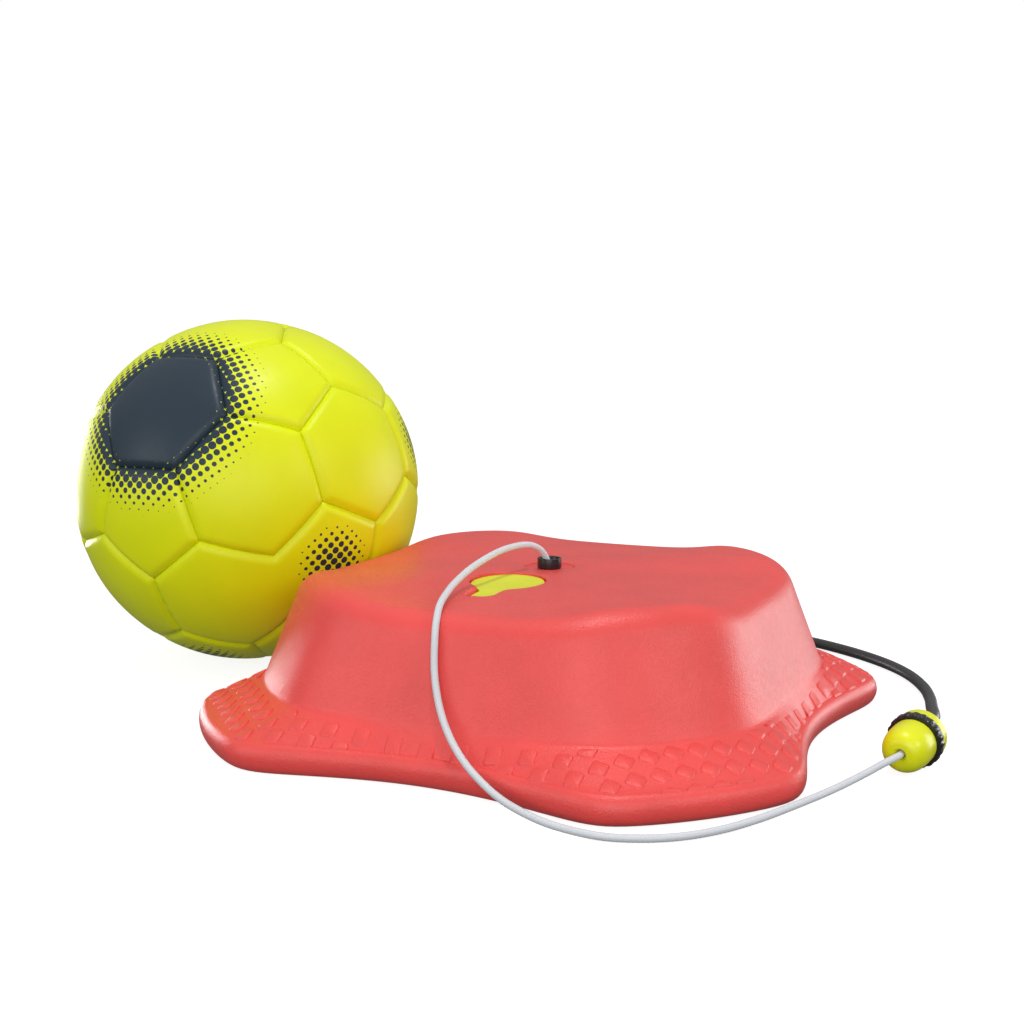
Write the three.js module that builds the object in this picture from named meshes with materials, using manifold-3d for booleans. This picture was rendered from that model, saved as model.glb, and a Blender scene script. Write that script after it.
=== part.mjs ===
// Tetherball set: a hollow water-weighted base, a two-stage tether with a coupling, and a soft ball.
// Millimetres, +Z up. The origin is the centre of the base's underside, on the ground.
import * as THREE from 'three';
import { mergeVertices } from 'three/addons/utils/BufferGeometryUtils.js';
import Module from 'manifold-3d';

const wasm = await Module();
wasm.setup();

const DEG = Math.PI / 180;
const GAP = 0.3;

// ---------------------------------------------------------------- driving dimensions

// Plan outline of the base: four lobes with straight or hollow sides between them.
const LOBE_TURN = 20.5 * DEG;
const CORNER_SHARPNESS = 30;
const SKIRT_PLAN = { lobe: 184, side: 145, bow: 1.33 };
const FOOT_PLAN = { lobe: 151.3, side: 133.2, bow: 1.0 };
const DECK_PLAN = { lobe: 133.5, side: 121, bow: 1.05 };

const EDGE_HEIGHT = 13.8;
const EDGE_ROUND = 5.2;
const FOOT_Z = 25.2;
const SHOULDER_R = 15;
const DECK_Z = 78.4;
const DECK_Z_LOBE = 80.3;
const DECK_Z_SIDE = 74.5;
const LOBE_HALF_ANGLE = 17 * DEG;
const LOBE_BLEND = 4 * DEG;
const WALL = 3;
const PLAN_STEPS = 48;

// Underside: a standing rim and a centre boss at ground level, a shallow pan between them.
const PAN_DEPTH = 3;
const BOSS_R = 45;
const PAN_EDGE = 0.86;
const RIM_START = 0.9;

// Tether swivel in the centre of the base.
const DISH_R = 13.5;
const DISH_DEPTH = 1;
const COLLAR_R = 6.4;
const COLLAR_TOP = 83;
const CUP_R = 5.3;
const CUP_DEPTH = 3;
const STEM_R = 5;
const STEM_BOTTOM = 16;
const CORD_BORE_R = 2.1;
const CHAMBER_R = 15;
const CHAMBER_TOP = 22;
const TUBE_R = 18.5;
const PLUG_R = 22;
const PLUG_T = 4.7;

// Filler: a keyhole-shaped recess, a round neck, and a bung with a pull tab.
const FILLER = { x: -22, y: -37.4 };
const TAB_TURN = -114 * DEG;
const TAB_REACH = 35.4;
const TAB_HALF = 6;
const LID_R = 18.8;
const LID_TOP = 76.6;
const LID_FALL = 2.6 * DEG;
const RECESS_FLOOR = 70;
const RECESS_CLEAR = 1.3;
// Finger scoop beside the tab: an ellipsoid's half-axes along the tab, across it and down.
const SCOOP_AT = { along: 26, across: -5, z: 77 };
const SCOOP_HALVES = [13, 5.5, 5.5];
const NECK_R = 13;
const NECK_BOTTOM = 61;
const BUNG_R = 12;
const SEAL_Z = 66;
const SEAL_HALF = 1.5;

// Cords.
const WHITE_R = 1.65;
const RUBBER_R = 3.1;

// Coupling, measured along its own axis from the middle of the lock ring towards the nose.
const COUPLING_AT = new THREE.Vector3(168.8, -100, 13.6);
const COUPLING_TURN = -125 * DEG;
const COUPLING_DIP = 5.5 * DEG;
const RING_R = 13.3;
const RING_HALF = 2.5;
const RING_RIBS = 20;
const NOSE_R = 11.2;
const NOSE_TIP = 21;
const SPIGOT_R = 8.9;
const TAIL_R = 12.4;
const TAIL_END = -12;

// Ball: cover panels on a foam layer on a bladder. The printed panel faces print_turn and print_tilt.
const BALL_AT = new THREE.Vector3(-181.5, 125.7, 104);
const BALL_R = 103.9;
const SEAM_R = 102;
const PUFF_WIDTH = 9;
const COVER_INNER_R = 100.6;
const FOAM_R = 100.2;
const FOAM_INNER_R = 90;
const BLADDER_R = 89.6;
const BLADDER_INNER_R = 88;
const PANEL_INSET = 0.35;
const PRINT_TURN = -115 * DEG;
const PRINT_TILT = 56 * DEG;
const ANCHOR_R = 9;
const VALVE_R = 5;

// ---------------------------------------------------------------- materials

const material = (name, colour, roughness = 0.5) =>
  new THREE.MeshStandardMaterial({ name, color: new THREE.Color(...colour), roughness });

const FINISH = {
  red: ['red_polyethylene', [0.78, 0.06, 0.05], 0.45],
  yellow: ['yellow_plastic', [0.72, 0.78, 0.02], 0.4],
  black: ['black_plastic', [0.02, 0.02, 0.025], 0.5],
  rubber: ['black_rubber', [0.03, 0.03, 0.035], 0.8],
  steel: ['steel', [0.6, 0.6, 0.62], 0.3],
  cord: ['white_cord', [0.85, 0.86, 0.88], 0.9],
  cover: ['yellow_cover', [0.7, 0.76, 0.02], 0.7],
  print: ['navy_print', [0.04, 0.06, 0.08], 0.7],
  foam: ['foam', [0.8, 0.78, 0.7], 0.95],
  latex: ['bladder_latex', [0.1, 0.1, 0.1], 0.8],
};

const group = new THREE.Group();

function addNode(name, geometry, finish) {
  const mesh = new THREE.Mesh(geometry, material(...FINISH[finish]));
  mesh.name = name;
  group.add(mesh);
}

// ---------------------------------------------------------------- solids

function welded(geometry) {
  const bare = geometry.clone();
  bare.deleteAttribute('normal');
  bare.deleteAttribute('uv');
  return mergeVertices(bare, 1e-4);
}

function toSolid(geometry) {
  const g = welded(geometry);
  const index = g.index ? g.index.array : [...Array(g.attributes.position.count).keys()];
  return new wasm.Manifold(new wasm.Mesh({
    numProp: 3,
    vertProperties: new Float32Array(g.attributes.position.array),
    triVerts: new Uint32Array(index),
  }));
}

function toGeometry(solid) {
  const mesh = solid.getMesh();
  const g = new THREE.BufferGeometry();
  g.setAttribute('position', new THREE.BufferAttribute(new Float32Array(mesh.vertProperties), 3));
  g.setIndex(new THREE.BufferAttribute(new Uint32Array(mesh.triVerts), 1));
  g.computeVertexNormals();
  return g;
}

const subtract = (solid, ...tools) => tools.reduce((a, b) => a.subtract(b), solid);
const unite = (solid, ...others) => others.reduce((a, b) => a.add(b), solid);

// A solid turned from a closed [radius, height] outline about the Z axis.
function turned(outline, steps = 16) {
  const points = outline.map(([r, z]) => new THREE.Vector2(r, z));
  const g = new THREE.LatheGeometry([...points, points[0]], steps);
  return welded(g.rotateX(Math.PI / 2));
}

// A solid turned from an open outline that starts and ends on the axis.
function turnedFull(outline, steps = 16) {
  const points = outline.map(([r, z]) => new THREE.Vector2(r, z));
  return welded(new THREE.LatheGeometry(points, steps).rotateX(Math.PI / 2));
}

const rod = (radius, low, high, steps = 20) =>
  turnedFull([[0, low], [radius, low], [radius, high], [0, high]], steps);

const tube = (inner, outer, low, high, steps = 20) =>
  turned([[inner, low], [outer, low], [outer, high], [inner, high]], steps);

// A flat ring with any outer outline and a round hole.
function holedPlate(outline, hole, low, high) {
  const shape = new THREE.Shape(outline);
  shape.holes.push(new THREE.Path().absarc(0, 0, hole, 0, 2 * Math.PI, true));
  const g = new THREE.ExtrudeGeometry(shape, { depth: high - low, bevelEnabled: false, curveSegments: 12 });
  return g.translate(0, 0, low);
}

const polar = (r, angle) => new THREE.Vector2(r * Math.cos(angle), r * Math.sin(angle));

// Skins a stack of closed rings of equal length, with a fan on the first and the last one.
function lofted(rings) {
  const n = rings[0].length;
  const middle = (ring) => ring.reduce((sum, p) => sum.add(p), new THREE.Vector3()).divideScalar(n);
  const points = [...rings.flat(), middle(rings[0]), middle(rings.at(-1))];
  const first = rings.length * n;
  const index = [];
  for (let k = 0; k < n; k++) {
    const next = (k + 1) % n;
    index.push(first, next, k);
    for (let row = 0; row + 1 < rings.length; row++) {
      const a = row * n;
      const b = a + n;
      index.push(a + k, a + next, b + next, a + k, b + next, b + k);
    }
    index.push(first + 1, first - n + k, first - n + next);
  }
  const g = new THREE.BufferGeometry().setFromPoints(points);
  g.setIndex(index);
  return g;
}

function swept(points, radius, steps, sides) {
  const path = new THREE.CatmullRomCurve3(points.map((p) => new THREE.Vector3(...p)), false, 'centripetal');
  const circle = new THREE.Shape();
  circle.absarc(0, 0, radius, 0, 2 * Math.PI, false);
  return new THREE.ExtrudeGeometry(circle, { steps, curveSegments: sides, extrudePath: path });
}

// ---------------------------------------------------------------- base

const lobePhase = (phi) => {
  const quarter = Math.PI / 2;
  const turn = phi - LOBE_TURN;
  return turn - quarter * Math.floor(turn / quarter) - quarter / 2;
};

// Distance from the centre to the outline in direction phi. Phase is zero in the middle of a side.
function planRadius(plan, phi) {
  const side = plan.side / Math.cos(plan.bow * lobePhase(phi));
  return (side ** -CORNER_SHARPNESS + plan.lobe ** -CORNER_SHARPNESS) ** (-1 / CORNER_SHARPNESS);
}

// Height of the deck's edge: a little raised on the lobes.
function deckEdge(phi) {
  const offLobe = Math.PI / 4 - Math.abs(lobePhase(phi));
  const lobeness = 1 / (1 + Math.exp((offLobe - LOBE_HALF_ANGLE) / LOBE_BLEND));
  return DECK_Z_SIDE + (DECK_Z_LOBE - DECK_Z_SIDE) * lobeness;
}

// A ring at a plan outline moved in by inset; height may depend on direction.
function baseRing(plan, inset, height, scale = 1) {
  const ring = [];
  for (let k = 0; k < PLAN_STEPS; k++) {
    const phi = 2 * Math.PI * k / PLAN_STEPS;
    const r = (planRadius(plan, phi) - inset) * scale;
    const z = typeof height === 'function' ? height(phi) : height;
    ring.push(new THREE.Vector3(r * Math.cos(phi), r * Math.sin(phi), z));
  }
  return ring;
}

const circleRing = (radius, z) => baseRing({ lobe: radius, side: radius * 0.999, bow: 0 }, 0, z);

// Rings from the foot over the wall and shoulder to the crown, for the skin at depth t.
function upperRings(t, shoulderAngles, crownSteps) {
  const rings = [baseRing(FOOT_PLAN, 1.1 * t, FOOT_Z - t)];
  const roll = SHOULDER_R - t;
  for (const angle of shoulderAngles) {
    const inset = t + roll * (1 - Math.cos(angle * DEG));
    const rise = roll * Math.sin(angle * DEG);
    rings.push(baseRing(DECK_PLAN, inset, (phi) => deckEdge(phi) - SHOULDER_R + rise));
  }
  for (const f of crownSteps) {
    const crown = (phi) => DECK_Z - t + (deckEdge(phi) - DECK_Z) * f * f;
    rings.push(baseRing(DECK_PLAN, SHOULDER_R, crown, f));
  }
  return rings;
}

function baseOuter() {
  const edge = [-90, -50, -15, 20, 55, 90].map((angle) => baseRing(
    SKIRT_PLAN,
    EDGE_ROUND * (1 - Math.cos(angle * DEG)),
    EDGE_HEIGHT / 2 * (1 + Math.sin(angle * DEG)),
  ));
  return lofted([
    circleRing(BOSS_R, 0),
    circleRing(BOSS_R + PAN_DEPTH, PAN_DEPTH),
    baseRing(FOOT_PLAN, 0, PAN_DEPTH, PAN_EDGE),
    baseRing(FOOT_PLAN, 0, 0, RIM_START),
    ...edge,
    ...upperRings(0, [0, 22.5, 45, 67.5, 90], [0.7, 0.35]),
  ]);
}

function baseCavity() {
  const t = WALL;
  return lofted([
    circleRing(BOSS_R, PAN_DEPTH + t),
    baseRing(FOOT_PLAN, 0, PAN_DEPTH + t, RIM_START + 0.03),
    baseRing(SKIRT_PLAN, 3 * t, t + 2),
    baseRing(SKIRT_PLAN, 3 * t, EDGE_HEIGHT - t),
    ...upperRings(t, [0, 45, 90], [0.5]),
  ]);
}

const tabPoint = (along, across) => new THREE.Vector2(
  FILLER.x + along * Math.cos(TAB_TURN) - across * Math.sin(TAB_TURN),
  FILLER.y + along * Math.sin(TAB_TURN) + across * Math.cos(TAB_TURN),
);

function diskAt(centre, radius, low, high, steps = 24) {
  return toSolid(rod(radius, low, high, steps).translate(centre.x, centre.y, 0));
}

// The keyhole plan of the bung: a disk with a round-ended tab, grown by clear.
function keyhole(clear, low, high) {
  const half = TAB_HALF + clear;
  const end = TAB_REACH - TAB_HALF;
  const bar = new THREE.Shape([[0, -half], [end, -half], [end, half], [0, half]]
    .map(([along, across]) => tabPoint(along, across)));
  const barSolid = new THREE.ExtrudeGeometry(bar, { depth: high - low, bevelEnabled: false });
  return unite(
    toSolid(barSolid.translate(0, 0, low)),
    diskAt(FILLER, LID_R + clear, low, high, 28),
    diskAt(tabPoint(end, 0), half, low, high, 16),
  );
}

function scoop(grow) {
  const ball = new THREE.SphereGeometry(1, 24, 16).scale(...SCOOP_HALVES.map((half) => half + grow));
  const at = tabPoint(SCOOP_AT.along, SCOOP_AT.across);
  return toSolid(ball.rotateZ(TAB_TURN).translate(at.x, at.y, SCOOP_AT.z));
}

function buildBase() {
  const above = 100;
  const outer = toSolid(baseOuter());
  const walls = WALL - 0.2;
  const fillerCup = keyhole(RECESS_CLEAR + walls, RECESS_FLOOR - WALL, above);
  const neckWall = diskAt(FILLER, NECK_R + WALL, NECK_BOTTOM, RECESS_FLOOR);
  const tetherTube = diskAt({ x: 0, y: 0 }, TUBE_R, 1, above);
  const stiffeners = unite(fillerCup, scoop(walls), neckWall, tetherTube).intersect(outer);
  return subtract(
    unite(subtract(outer, toSolid(baseCavity())), stiffeners),
    keyhole(RECESS_CLEAR, RECESS_FLOOR, above),
    scoop(0),
    diskAt(FILLER, NECK_R, NECK_BOTTOM - 1, above),
    diskAt({ x: 0, y: 0 }, DISH_R, DECK_Z - DISH_DEPTH, above),
    diskAt({ x: 0, y: 0 }, STEM_R + GAP, 1, above),
    diskAt({ x: 0, y: 0 }, CHAMBER_R, 1, CHAMBER_TOP),
    diskAt({ x: 0, y: 0 }, PLUG_R + GAP, -1, PLUG_T + GAP),
  );
}

addNode('base_shell', toGeometry(buildBase()), 'red');

// ---------------------------------------------------------------- filler bung

function buildBung() {
  const groove = BUNG_R - 1.6;
  const shank = turnedFull([
    [0, NECK_BOTTOM + 1], [BUNG_R - 1, NECK_BOTTOM + 1], [BUNG_R, NECK_BOTTOM + 2],
    [BUNG_R, SEAL_Z - SEAL_HALF - GAP], [groove, SEAL_Z - SEAL_HALF - GAP],
    [groove, SEAL_Z + SEAL_HALF + GAP], [BUNG_R, SEAL_Z + SEAL_HALF + GAP],
    [BUNG_R, RECESS_FLOOR + 1], [0, RECESS_FLOOR + 1],
  ]).translate(FILLER.x, FILLER.y, 0);
  const above = new THREE.BoxGeometry(200, 200, 40).translate(0, 0, 20);
  above.rotateY(LID_FALL).rotateZ(TAB_TURN).translate(FILLER.x, FILLER.y, LID_TOP);
  return subtract(unite(keyhole(0, RECESS_FLOOR + GAP, LID_TOP + 3), toSolid(shank)), toSolid(above));
}

addNode('filler_bung', toGeometry(buildBung()), 'yellow');

const sealSection = [];
for (let k = 0; k < 6; k++) {
  const angle = 2 * Math.PI * k / 6;
  sealSection.push([BUNG_R - 0.65 + 0.95 * Math.cos(angle), SEAL_Z + SEAL_HALF * Math.sin(angle)]);
}
addNode('bung_seal', turned(sealSection).translate(FILLER.x, FILLER.y, 0), 'rubber');

// ---------------------------------------------------------------- tether swivel

addNode('swivel_collar', turned([
  [CORD_BORE_R, STEM_BOTTOM], [STEM_R, STEM_BOTTOM], [STEM_R, DECK_Z - DISH_DEPTH + GAP],
  [COLLAR_R, DECK_Z - DISH_DEPTH + GAP], [COLLAR_R, COLLAR_TOP - 0.6], [COLLAR_R - 0.6, COLLAR_TOP],
  [CUP_R, COLLAR_TOP], [CUP_R - 0.6, COLLAR_TOP - CUP_DEPTH], [CORD_BORE_R, COLLAR_TOP - CUP_DEPTH - 3],
]), 'black');

const NUT_TOP = CHAMBER_TOP - 2.1;
addNode('swivel_washer', tube(STEM_R + GAP, CHAMBER_R - 2, NUT_TOP + GAP, CHAMBER_TOP - GAP), 'steel');
const hexagon = [0, 1, 2, 3, 4, 5].map((k) => polar(CHAMBER_R - 5, k * Math.PI / 3));
addNode('swivel_nut', holedPlate(hexagon, STEM_R + GAP, STEM_BOTTOM - 1, NUT_TOP), 'black');

// The stopper that the cord's lower end is tied to, and the plug that covers the chamber.
const STOP_TOP = STEM_BOTTOM - GAP;
addNode('base_cord_stop', turned([
  [WHITE_R + GAP, 6.5], [4.2, 6.5], [5, 8], [5, STOP_TOP - 1.5], [4, STOP_TOP], [WHITE_R + GAP, STOP_TOP],
]), 'black');
addNode('base_plug', rod(PLUG_R, 0, PLUG_T, 24), 'black');

// ---------------------------------------------------------------- coupling

// Turns a part built along +Z (towards the nose) into the coupling's place.
function placeCoupling(geometry) {
  const g = geometry.clone();
  g.rotateY(Math.PI / 2 + COUPLING_DIP);
  g.rotateZ(COUPLING_TURN);
  return g.translate(...COUPLING_AT);
}

const couplingPoint = (along) => {
  const p = new THREE.Vector3(0, 0, along);
  p.applyAxisAngle(new THREE.Vector3(0, 1, 0), Math.PI / 2 + COUPLING_DIP);
  p.applyAxisAngle(new THREE.Vector3(0, 0, 1), COUPLING_TURN);
  return p.add(COUPLING_AT).toArray();
};

const HOLLOW_R = 6;
const HOLLOW_END = 15;
addNode('coupling_nose', placeCoupling(turned([
  [HOLLOW_R, -8], [SPIGOT_R, -8], [SPIGOT_R, RING_HALF + GAP], [NOSE_R - 0.5, RING_HALF + GAP],
  [NOSE_R, 4], [NOSE_R, 11], [NOSE_R - 0.9, 15], [NOSE_R - 3.4, 18.6], [NOSE_R - 6.4, 20.4],
  [WHITE_R + 1, NOSE_TIP], [WHITE_R + 0.4, NOSE_TIP - 0.5], [WHITE_R + 0.4, HOLLOW_END],
  [HOLLOW_R, HOLLOW_END],
], 24)), 'yellow');

addNode('coupling_tail', placeCoupling(turned([
  [SPIGOT_R + GAP, -RING_HALF - GAP], [SPIGOT_R + GAP, -8 - GAP], [RUBBER_R + 0.4, -8 - GAP],
  [RUBBER_R + 0.4, TAIL_END], [8, TAIL_END], [TAIL_R - 1.6, TAIL_END + 2.2], [TAIL_R, TAIL_END + 5],
  [TAIL_R, -RING_HALF - GAP],
], 24)), 'yellow');

// The ribbed lock ring: one raised rib and one valley per pitch.
const ribbed = [];
for (let k = 0; k < 2 * RING_RIBS; k++) {
  ribbed.push(polar(k % 2 ? RING_R - 0.6 : RING_R, Math.PI * k / RING_RIBS));
}
addNode('coupling_ring', placeCoupling(
  holedPlate(ribbed, SPIGOT_R + GAP, -RING_HALF, RING_HALF),
), 'black');

addNode('nose_cord_stop', placeCoupling(turned([
  [WHITE_R + GAP, 7], [4.6, 7], [5.2, 8.5], [5.2, 13.2], [4.2, HOLLOW_END - GAP],
  [WHITE_R + GAP, HOLLOW_END - GAP],
])), 'black');
addNode('tail_cord_stop', placeCoupling(turned([
  [RUBBER_R + GAP, -7.6], [5.6, -7.6], [5.6, 2], [5, 3], [RUBBER_R + GAP, 3],
])), 'steel');

// ---------------------------------------------------------------- ball

const onSphere = (tilt, azimuth) =>
  new THREE.Vector3().setFromSphericalCoords(1, tilt * DEG, azimuth * DEG).applyAxisAngle(
    new THREE.Vector3(1, 0, 0), Math.PI / 2,
  );

// The centres of the twelve five-sided panels, with a six-sided panel at the +Z pole.
const FIVE_CENTRES = [[37.377, 0], [79.188, 60], [100.812, 0], [142.623, 60]]
  .flatMap(([tilt, start]) => [0, 120, 240].map((step) => onSphere(tilt, 90 + start + step)));

const NEIGHBOUR_COS = 0.4;
const areNear = (a, b) => a !== b && a.dot(b) > NEIGHBOUR_COS;
const thirdOf = (a, b) => a.clone().multiplyScalar(2).add(b).normalize();

// Orders corner directions counter-clockwise as seen from outside.
function ringAround(centre, corners) {
  const u = corners[0].clone().sub(centre).normalize();
  const v = centre.clone().cross(u);
  const angle = (p) => Math.atan2(p.dot(v), p.dot(u));
  return [...corners].sort((a, b) => angle(a) - angle(b));
}

function ballFaces() {
  const faces = FIVE_CENTRES.map((c) => {
    const corners = FIVE_CENTRES.filter((n) => areNear(c, n)).map((n) => thirdOf(c, n));
    return { centre: c.clone(), corners: ringAround(c, corners), sides: 5 };
  });
  const c = FIVE_CENTRES;
  for (let i = 0; i < 12; i++) {
    for (let j = i + 1; j < 12; j++) {
      for (let k = j + 1; k < 12; k++) {
        if (!areNear(c[i], c[j]) || !areNear(c[j], c[k]) || !areNear(c[i], c[k])) continue;
        const pairs = [[i, j], [j, i], [j, k], [k, j], [k, i], [i, k]];
        const centre = c[i].clone().add(c[j]).add(c[k]).normalize();
        const corners = pairs.map(([a, b]) => thirdOf(c[a], c[b]));
        faces.push({ centre, corners: ringAround(centre, corners), sides: 6 });
      }
    }
  }
  return faces;
}

// Puts a direction of the ball's own frame (printed panel at +Z) into the world.
function aim(p) {
  return p.applyAxisAngle(new THREE.Vector3(0, 1, 0), PRINT_TILT)
    .applyAxisAngle(new THREE.Vector3(0, 0, 1), PRINT_TURN);
}

const FACES = ballFaces().map(({ centre, corners, sides }) =>
  ({ centre: aim(centre), corners: corners.map(aim), sides }));
const faceTowards = (direction) =>
  FACES.reduce((best, f) => (f.centre.dot(direction) > best.centre.dot(direction) ? f : best));

const PRINT_AXIS = aim(new THREE.Vector3(0, 0, 1));
const ANCHOR_AXIS = PRINT_AXIS.clone().negate();
const PRINTED = faceTowards(PRINT_AXIS);
const ANCHORED = faceTowards(ANCHOR_AXIS);
const VALVED = faceTowards(new THREE.Vector3(0.42, 0.91, 0.06));
// One five-sided and one six-sided face are moulded as a single double panel with no seam between.
const DOUBLE = [faceTowards(new THREE.Vector3(0.59, -0.75, -0.3)), faceTowards(new THREE.Vector3(0, -0.84, -0.54))];

const sameSpot = (a, b) => a.distanceTo(b) < 1e-3;
const midway = (a, b) => a.clone().add(b).multiplyScalar(0.5);

// The sides of a panel that no other face of the same panel shares.
function panelEdges(faces) {
  const sides = faces.flatMap(({ corners }) => corners.map((p, i) => [p, corners[(i + 1) % corners.length]]));
  return sides.filter(([a, b]) => !sides.some(([c, d]) => sameSpot(a, d) && sameSpot(b, c)));
}

function distanceToEdge(p, [a, b]) {
  const run = b.clone().sub(a);
  const t = THREE.MathUtils.clamp(p.clone().sub(a).dot(run) / run.lengthSq(), 0, 1);
  return p.distanceTo(a.clone().addScaledVector(run, t));
}

// Triangles of one face as [rows] of direction points; fine puts an extra row near the seam.
function faceTriangles({ centre, corners }, fine, add) {
  corners.forEach((a, i) => {
    const b = corners[(i + 1) % corners.length];
    const m = midway(a, b);
    const at = (p, f) => centre.clone().lerp(p, f);
    const [ca, cb] = [at(a, 0.5), at(b, 0.5)];
    if (!fine) {
      [[centre, ca, cb], [ca, a, m], [ca, m, cb], [cb, m, b]].forEach((t) => add(...t));
      return;
    }
    const [pa, pm, pb] = [a, m, b].map((p) => at(p, 0.84));
    [[centre, ca, cb], [ca, pa, pm], [ca, pm, cb], [cb, pm, pb],
      [pa, a, m], [pa, m, pm], [pm, m, b], [pm, b, pb]].forEach((t) => add(...t));
  });
}

function fromTriangles(triangles) {
  const g = new THREE.BufferGeometry().setFromPoints(triangles.flat());
  g.setIndex([...triangles.flat().keys()]);
  return mergeVertices(g, 1e-3);
}

function buildPanel(faces) {
  const edges = panelEdges(faces);
  const middle = faces.reduce((sum, f) => sum.add(f.centre), new THREE.Vector3()).normalize();
  const onEdge = (p) => edges.some((e) => distanceToEdge(p, e) < 1e-4);
  const shrink = (p) => p.clone().add(middle.clone().sub(p).setLength(PANEL_INSET / BALL_R));
  const place = (p, radius) => (onEdge(p) ? shrink(p) : p.clone()).setLength(radius);
  const outerRadius = (p) => {
    const d = Math.min(...edges.map((e) => distanceToEdge(p, e))) * BALL_R;
    return SEAM_R + (BALL_R - SEAM_R) * (1 - Math.exp(-3 * d / PUFF_WIDTH));
  };
  const triangles = [];
  for (const face of faces) {
    faceTriangles(face, true, (a, b, c) => triangles.push([a, b, c].map((p) => place(p, outerRadius(p)))));
    faceTriangles(face, false, (a, b, c) => triangles.push([c, b, a].map((p) => place(p, COVER_INNER_R))));
  }
  for (const [a, b] of edges) {
    const m = midway(a, b);
    for (const [p, q] of [[a, m], [m, b]]) {
      const [p0, q0] = [p, q].map((v) => place(v, COVER_INNER_R));
      const [p1, q1] = [p, q].map((v) => place(v, outerRadius(v)));
      triangles.push([p0, q0, q1], [p0, q1, p1]);
    }
  }
  return fromTriangles(triangles);
}

function ballLayer(radius) {
  const triangles = [];
  FACES.forEach((face) => faceTriangles(face, false, (a, b, c) =>
    triangles.push([a, b, c].map((p) => p.clone().setLength(radius)))));
  return toSolid(fromTriangles(triangles));
}

function coarseLayer(radius) {
  const at = (p) => p.clone().setLength(radius);
  const fan = ({ centre, corners }) =>
    corners.map((a, i) => [centre, a, corners[(i + 1) % corners.length]].map(at));
  return toSolid(fromTriangles(FACES.flatMap(fan)));
}

// Turns a part built along +Z from the ball's centre to point along an axis.
function alongAxis(geometry, axis) {
  const turn = new THREE.Quaternion().setFromUnitVectors(new THREE.Vector3(0, 0, 1), axis);
  return geometry.clone().applyQuaternion(turn);
}

const VALVE_AXIS = VALVED.centre.clone();
const borer = (radius, low, high, axis, steps = 20) => toSolid(alongAxis(rod(radius, low, high, steps), axis));
const placeBall = (geometry) => geometry.clone().translate(...BALL_AT);
const ANCHOR_FOOT = 92.4;

let fives = 0;
let sixes = 0;
function panelName(face) {
  if (face === PRINTED) return 'panel_printed';
  if (face === ANCHORED) return 'panel_anchor';
  if (face === VALVED) return 'panel_valve';
  if (face.sides === 5) return `panel_five_${++fives}`;
  return `panel_six_${++sixes}`;
}

for (const face of FACES) {
  if (DOUBLE.includes(face)) continue;
  let panel = buildPanel([face]);
  if (face === ANCHORED) {
    panel = toGeometry(toSolid(panel).subtract(borer(ANCHOR_R + GAP, 90, 120, ANCHOR_AXIS)));
  }
  if (face === VALVED) {
    panel = toGeometry(toSolid(panel).subtract(borer(VALVE_R + GAP, 90, 120, VALVE_AXIS)));
  }
  addNode(panelName(face), placeBall(panel), face === PRINTED ? 'print' : 'cover');
}
addNode('panel_double', placeBall(buildPanel(DOUBLE)), 'cover');

addNode('foam_layer', placeBall(toGeometry(subtract(
  ballLayer(FOAM_R),
  coarseLayer(FOAM_INNER_R),
  borer(ANCHOR_R + GAP, ANCHOR_FOOT - GAP, 120, ANCHOR_AXIS),
  borer(VALVE_R + GAP, 80, 120, VALVE_AXIS),
))), 'foam');

addNode('bladder', placeBall(toGeometry(subtract(
  coarseLayer(BLADDER_R),
  coarseLayer(BLADDER_INNER_R),
  borer(VALVE_R - 1 + GAP, 80, 120, VALVE_AXIS),
))), 'latex');

addNode('valve', placeBall(alongAxis(turned([
  [0.7, 85], [VALVE_R - 1, 85], [VALVE_R - 1, 90.4], [VALVE_R, 90.4], [VALVE_R, 103], [VALVE_R - 1, 103.6],
  [0.7, 103.6],
]), VALVE_AXIS)), 'rubber');

// Anchor: a rubber cup bonded into the cover, a swivel pin held in it, and a socket for the cord.
const PIN_R = 2.5;
const PIN_HEAD_R = 5;
const HEAD_LOW = 94.5;
const HEAD_HIGH = 98;
const CUP_TOP = 105.6;
addNode('anchor_cup', placeBall(alongAxis(turned([
  [0.8, ANCHOR_FOOT], [ANCHOR_R, ANCHOR_FOOT], [ANCHOR_R, CUP_TOP - 1.4], [ANCHOR_R - 1.6, CUP_TOP],
  [PIN_R + GAP, CUP_TOP], [PIN_R + GAP, HEAD_HIGH + GAP], [PIN_HEAD_R + GAP, HEAD_HIGH + GAP],
  [PIN_HEAD_R + GAP, HEAD_LOW - GAP], [0.8, HEAD_LOW - GAP],
]), ANCHOR_AXIS)), 'rubber');

const SOCKET_LOW = CUP_TOP + GAP;
const SOCKET_HIGH = SOCKET_LOW + 13;
addNode('anchor_pin', placeBall(alongAxis(turnedFull([
  [0, HEAD_LOW], [PIN_HEAD_R, HEAD_LOW], [PIN_HEAD_R, HEAD_HIGH], [PIN_R, HEAD_HIGH],
  [PIN_R, SOCKET_LOW + 3], [0, SOCKET_LOW + 3],
]), ANCHOR_AXIS)), 'steel');
addNode('anchor_socket', placeBall(alongAxis(turned([
  [PIN_R + GAP, SOCKET_LOW], [5.4, SOCKET_LOW], [5.8, SOCKET_LOW + 1], [5.8, SOCKET_HIGH - 2],
  [5, SOCKET_HIGH], [RUBBER_R + GAP, SOCKET_HIGH], [RUBBER_R + GAP, SOCKET_LOW + 3 + GAP],
  [PIN_R + GAP, SOCKET_LOW + 3 + GAP],
]), ANCHOR_AXIS)), 'black');

// ---------------------------------------------------------------- cords

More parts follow.
